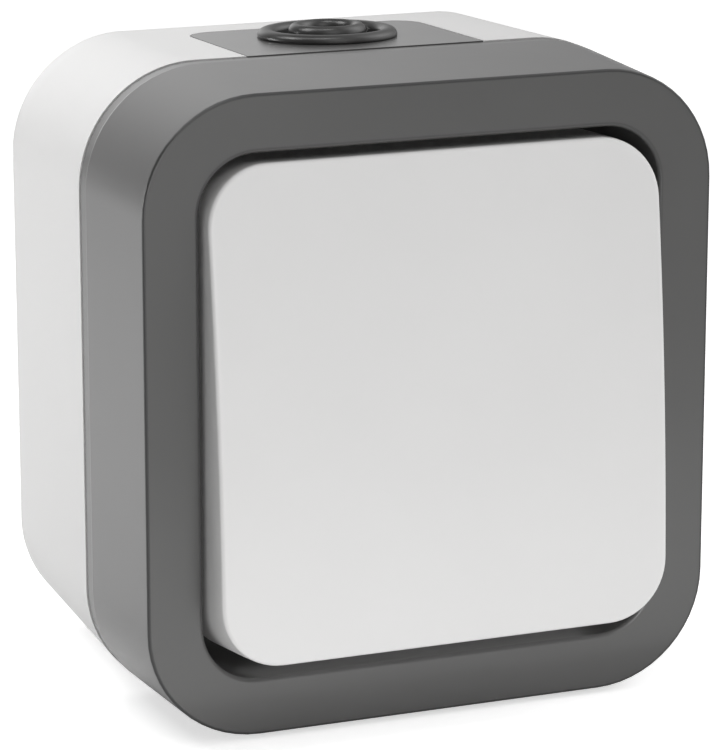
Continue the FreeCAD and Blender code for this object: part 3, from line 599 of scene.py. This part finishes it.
# ---------------------------------------------------------------- rocker
def rocker_shells():
    """Domed front, rounded edge, flared sides and hollow inside: loops from the middle of the
    front out to the edge, round it, back along the side and inside again to the middle."""
    w, h, r = ROCKER
    dome_r = (h ** 2 / 4 + ROCKER_DOME ** 2) / (2 * ROCKER_DOME)
    dome_y = dome_r - ROCKER_REACH - ROCKER_DOME
    front = -ROCKER_REACH - 2 * ROCKER_DOME

    def loop(inset, share, shell_r, drop):
        """Outline moved in by inset and shrunk to a share, on the dome of the radius, then moved
        back by drop."""
        xz = rounded_loop(w - 2 * inset, h - 2 * inset, r - inset, ROCKER_SIDE_STEPS) * share
        return at_depth(xz, dome_y - np.sqrt(shell_r ** 2 - xz[:, 1] ** 2) + drop)

    def side(inset, y):
        """Outline of the flared side at the depth y, moved in by inset."""
        share = (y - front) / -front
        grow = ROCKER_FLARE * share - inset
        corner_r = r + grow - ROCKER_REAR_SHARPER * share
        return at_depth(rounded_loop(w + 2 * grow, h + 2 * grow, corner_r, ROCKER_SIDE_STEPS), y)

    e, q = ROCKER_EDGE_R, ROCKER_REAR_R
    wall = ROCKER_WALL + ROCKER_DRAFT
    grow = ROCKER_FLARE * ROCKER_EDGE_FLARE
    over, round_front, round_rear, back = ROCKER_LOOPS
    middle, rim = ROCKER_SHARES
    loops = [loop(e, share, dome_r, 0.0) for share in np.linspace(middle, rim, over)]
    for t in np.linspace(0, np.pi / 2, round_front):
        inset = e * (1 - math.sin(t)) - grow * math.sin(t)
        loops.append(loop(inset, 1.0, dome_r, e * (1 - math.cos(t))))
    loops.append(side(0, ROCKER_SIDE_TOP))
    loops.append(side(0, -q))
    for t in np.linspace(0, np.pi / 2, round_rear):
        loops.append(side(q * (1 - math.cos(t)), -q + q * math.sin(t)))
    loops.append(side(wall, 0.0))
    loops.append(side(wall + ROCKER_LIP, -2 * ROCKER_LIP))
    loops.append(side(wall, ROCKER_INSIDE_TOP))
    inner_r = dome_r - ROCKER_FRONT
    loops += [loop(ROCKER_WALL, share, inner_r, 0.0) for share in np.linspace(1.0, middle, back)]
    shells = [loops_to_mesh(np.array(loops), "caps")]
    face = -ROCKER_REACH - ROCKER_DOME + ROCKER_FRONT
    near, far = face - RIB_HALF, face + ROCKER_RIB_H
    reach_x, reach_z = ROCKER_RIB_REACH
    for s in (-1, 1):
        x, z = s * ROCKER_RIBS[0], s * ROCKER_RIBS[1]
        shells.append(slab((x - RIB_HALF, near, -reach_z), (x + RIB_HALF, far, reach_z)))
        shells.append(slab((-reach_x, near, z - RIB_HALF), (reach_x, far, z + RIB_HALF)))
        for z in (-HOOK_Z, HOOK_Z):
            low, high = z - HOOK_HALF_W, z + HOOK_HALF_W
            shells.append(slab((s * HOOK_STEM[0], near, low), (s * HOOK_STEM[1], HOOK_END, high)))
            shells.append(slab((s * HOOK_NOSE[0], HOOK_END - HOOK_NOSE_T, low),
                               (s * HOOK_NOSE[1], HOOK_END, high)))
    turned_shells = []
    for verts, faces in shells:
        y = verts[:, 1] * math.cos(TILT) - verts[:, 2] * math.sin(TILT) + PIVOT_Y
        z = verts[:, 1] * math.sin(TILT) + verts[:, 2] * math.cos(TILT)
        turned_shells.append((np.stack([verts[:, 0], y, z], 1), faces))
    return turned_shells


piece("rocker_cap", rocker_shells(), "rocker", "rocker_grey", ["rocker"])


# ---------------------------------------------------------------- cable gland
def half_round(r_in, r_out, foot, top):
    """Round-topped rib between two radii: r = middle + half width * cos t, height = foot +
    (top - foot) * sin t, from the inner foot over the crest to the outer foot."""
    t = np.linspace(np.pi, 0, CREST_STEPS + 1)
    r = (r_in + r_out) / 2 + (r_out - r_in) / 2 * np.cos(t)
    return np.stack([r, foot + (top - foot) * np.sin(t)], 1)


def gland_shells():
    """Turned gland: closed skin deep in the hole, round-topped collar, groove, round-topped ring,
    neck in the plate, inner flange and hollow spout."""
    flange_r, flange_t = FLANGE
    flange_end = PLATE_BACK - flange_t
    bore_r, spout_r, spout_l = SPOUT
    tip = flange_end - spout_l
    profile = np.concatenate([
        [(NEAR_AXIS, SKIN[0])],
        SKIN_EDGE,
        half_round(*GLAND_COLLAR),
        GROOVE,
        half_round(*GLAND_RING),
        [(GLAND_RING[1], RING_UNDER), (NECK_R, RING_UNDER), (NECK_R, PLATE_BACK),
         (flange_r, PLATE_BACK), (flange_r, flange_end), (spout_r, flange_end), (spout_r, tip),
         (bore_r, tip), (bore_r, SKIN[1]), (NEAR_AXIS, SKIN[1])],
    ])
    loops = turned(profile, GLAND_STEPS)
    c, s = math.cos(GLAND_LEAN), math.sin(GLAND_LEAN)
    placed = np.stack([loops[..., 0],
                       loops[..., 1] * c + loops[..., 2] * s,
                       -loops[..., 1] * s + loops[..., 2] * c], -1) + GLAND_POINT
    return [loops_to_mesh(placed, "caps")]


piece("gland_body", gland_shells(), "housing", "gland_black", ["cable_gland"])


# ---------------------------------------------------------------- floor, light and camera
REFLECTED = 0.22                  # pale levels that reflections see added to the surround
FLOOR_REFLECTED = 0.03            # and to the floor
FLOOR_GLOW = 0.6                  # added to the floor for the camera, so that it is white
FLOOR_REACH = 6.0                 # metres from the middle to each side
FLOOR_COLOUR = (0.85, 0.85, 0.85, 1.0)
CAMERA_PLACE = (-0.1567, -0.4095, 0.1030)
CAMERA_RIGHT = (0.9256, -0.3785, 0.0)
CAMERA_FORWARD = (0.3670, 0.8974, -0.2451)
CAMERA_LENS = 181.03
CAMERA_SENSOR = 36.0


def ray_kinds(tree):
    """Sockets that are 1 for rays that the camera sees straight or through something, and for
    reflections."""
    rays = tree.nodes.new("ShaderNodeLightPath")
    seen = math_node(tree, "MAXIMUM", rays.outputs["Is Camera Ray"],
                     rays.outputs["Is Transmission Ray"])
    return seen, rays.outputs["Is Glossy Ray"]


def make_floor():
    """Pale floor under the lowest edge, seen white by the camera but for the object's shadow."""
    low = min(cad_box[0][2], cad_box[1][2])
    mesh = bpy.data.meshes.new("studio_floor")
    corners = [(x * FLOOR_REACH, y * FLOOR_REACH, low)
               for x, y in ((-1, -1), (1, -1), (1, 1), (-1, 1))]
    mesh.from_pydata(corners, [], [(0, 1, 2, 3)])
    obj = add("studio_floor", mesh)
    mat = bpy.data.materials.new("floor_white")
    mat.use_nodes = True
    tree = mat.node_tree
    tree.nodes.remove(tree.nodes["Principled BSDF"])
    paint = tree.nodes.new("ShaderNodeBsdfDiffuse")
    paint.inputs["Color"].default_value = FLOOR_COLOUR
    glow = tree.nodes.new("ShaderNodeEmission")
    seen, reflected = ray_kinds(tree)
    level = math_node(tree, "ADD", math_node(tree, "MULTIPLY", seen, FLOOR_GLOW),
                      math_node(tree, "MULTIPLY", reflected, FLOOR_REFLECTED))
    tree.links.new(level, glow.inputs["Strength"])
    both = tree.nodes.new("ShaderNodeAddShader")
    tree.links.new(paint.outputs[0], both.inputs[0])
    tree.links.new(glow.outputs[0], both.inputs[1])
    tree.links.new(both.outputs[0], tree.nodes["Material Output"].inputs["Surface"])
    mesh.materials.append(mat)


# Soft surround: azimuth (0 in front, 90 to the right) and elevation of each broad light in
# degrees, its narrowness and its strength. The light falls off as the cosine of the angle from
# its middle, raised to its narrowness.
LOBES = [
    (0, 40, 14, 2.0),
    (60, 10, 20, 1.0),
    (90, 15, 8, 1.2),
    (90, 40, 14, 2.4),
    (135, 40, 14, 0.4),
    (180, 10, 20, 1.4),
]
# Soft lamps: place, point that they face, width and height in metres, watts
LAMPS = [
    ((-0.45, 0.22, -0.02), (0.0, 0.0, -0.01), 0.25, 0.06, 1.6),
    ((-0.05, -0.7, 0.0), (0.0, -0.04, -0.01), 0.3, 0.1, 1.0),
    ((-0.18, 0.06, 0.28), (0.0, -0.02, 0.03), 0.14, 0.14, 0.46),
    ((-0.04, -0.05, 0.35), (0.0, -0.02, 0.03), 0.14, 0.1, 0.24),
    ((0.03, -0.095, -0.034), (0.03, -0.095, 1.0), 0.16, 0.08, 0.017),
]


def toward(azimuth, elevation):
    """Unit vector from the object to a place of the surround."""
    a, e = math.radians(azimuth), math.radians(elevation)
    return Vector((math.sin(a) * math.cos(e), -math.cos(a) * math.cos(e), math.sin(e)))


def make_world():
    """Soft surround that lights the object. The camera sees it white, and reflections see it
    with a pale level added."""
    world = bpy.data.worlds.new("studio")
    bpy.context.scene.world = world
    world.use_nodes = True
    tree = world.node_tree
    coords = tree.nodes.new("ShaderNodeTexCoord")
    seen, reflected = ray_kinds(tree)
    level = math_node(tree, "MULTIPLY", reflected, REFLECTED)
    for azimuth, elevation, narrow, strength in LOBES:
        facing = tree.nodes.new("ShaderNodeVectorMath")
        facing.operation = "DOT_PRODUCT"
        facing.inputs[1].default_value = toward(azimuth, elevation)
        tree.links.new(coords.outputs["Generated"], facing.inputs[0])
        lit = math_node(tree, "MAXIMUM", facing.outputs["Value"], 0.0)
        fall = math_node(tree, "POWER", lit, narrow)
        level = math_node(tree, "ADD", math_node(tree, "MULTIPLY", fall, strength), level)
    rest = math_node(tree, "SUBTRACT", 1.0, seen)
    level = math_node(tree, "ADD", math_node(tree, "MULTIPLY", level, rest), seen)
    tree.links.new(level, tree.nodes["Background"].inputs["Strength"])
    tree.nodes["Background"].inputs["Color"].default_value = (1, 1, 1, 1)


def make_lamps():
    """Soft area lamps close to the object."""
    for i, (place, aim, width, height, power) in enumerate(LAMPS):
        light = bpy.data.lights.new(f"soft_lamp_{i}", "AREA")
        light.shape = "RECTANGLE"
        light.size = width
        light.size_y = height
        light.energy = power
        obj = add(f"soft_lamp_{i}", light)
        obj.location = place
        obj.rotation_euler = (Vector(aim) - Vector(place)).to_track_quat("-Z", "Z").to_euler()
        obj.visible_camera = False


def make_camera():
    """Camera from the photograph: place and axes in the object's frame, long lens."""
    right = Vector(CAMERA_RIGHT).normalized()
    forward = Vector(CAMERA_FORWARD).normalized()
    up = right.cross(forward).normalized()
    right = forward.cross(up).normalized()
    data = bpy.data.cameras.new("camera")
    data.sensor_fit = "VERTICAL"
    data.sensor_height = CAMERA_SENSOR
    data.lens = CAMERA_LENS
    data.clip_end = 50.0
    obj = add("camera", data)
    turn = Matrix((right, up, -forward)).transposed().to_4x4()
    obj.matrix_world = Matrix.Translation(Vector(CAMERA_PLACE)) @ turn
    bpy.context.scene.camera = obj


make_floor()
make_world()
make_lamps()
make_camera()
bpy.context.scene.view_settings.view_transform = "Standard"
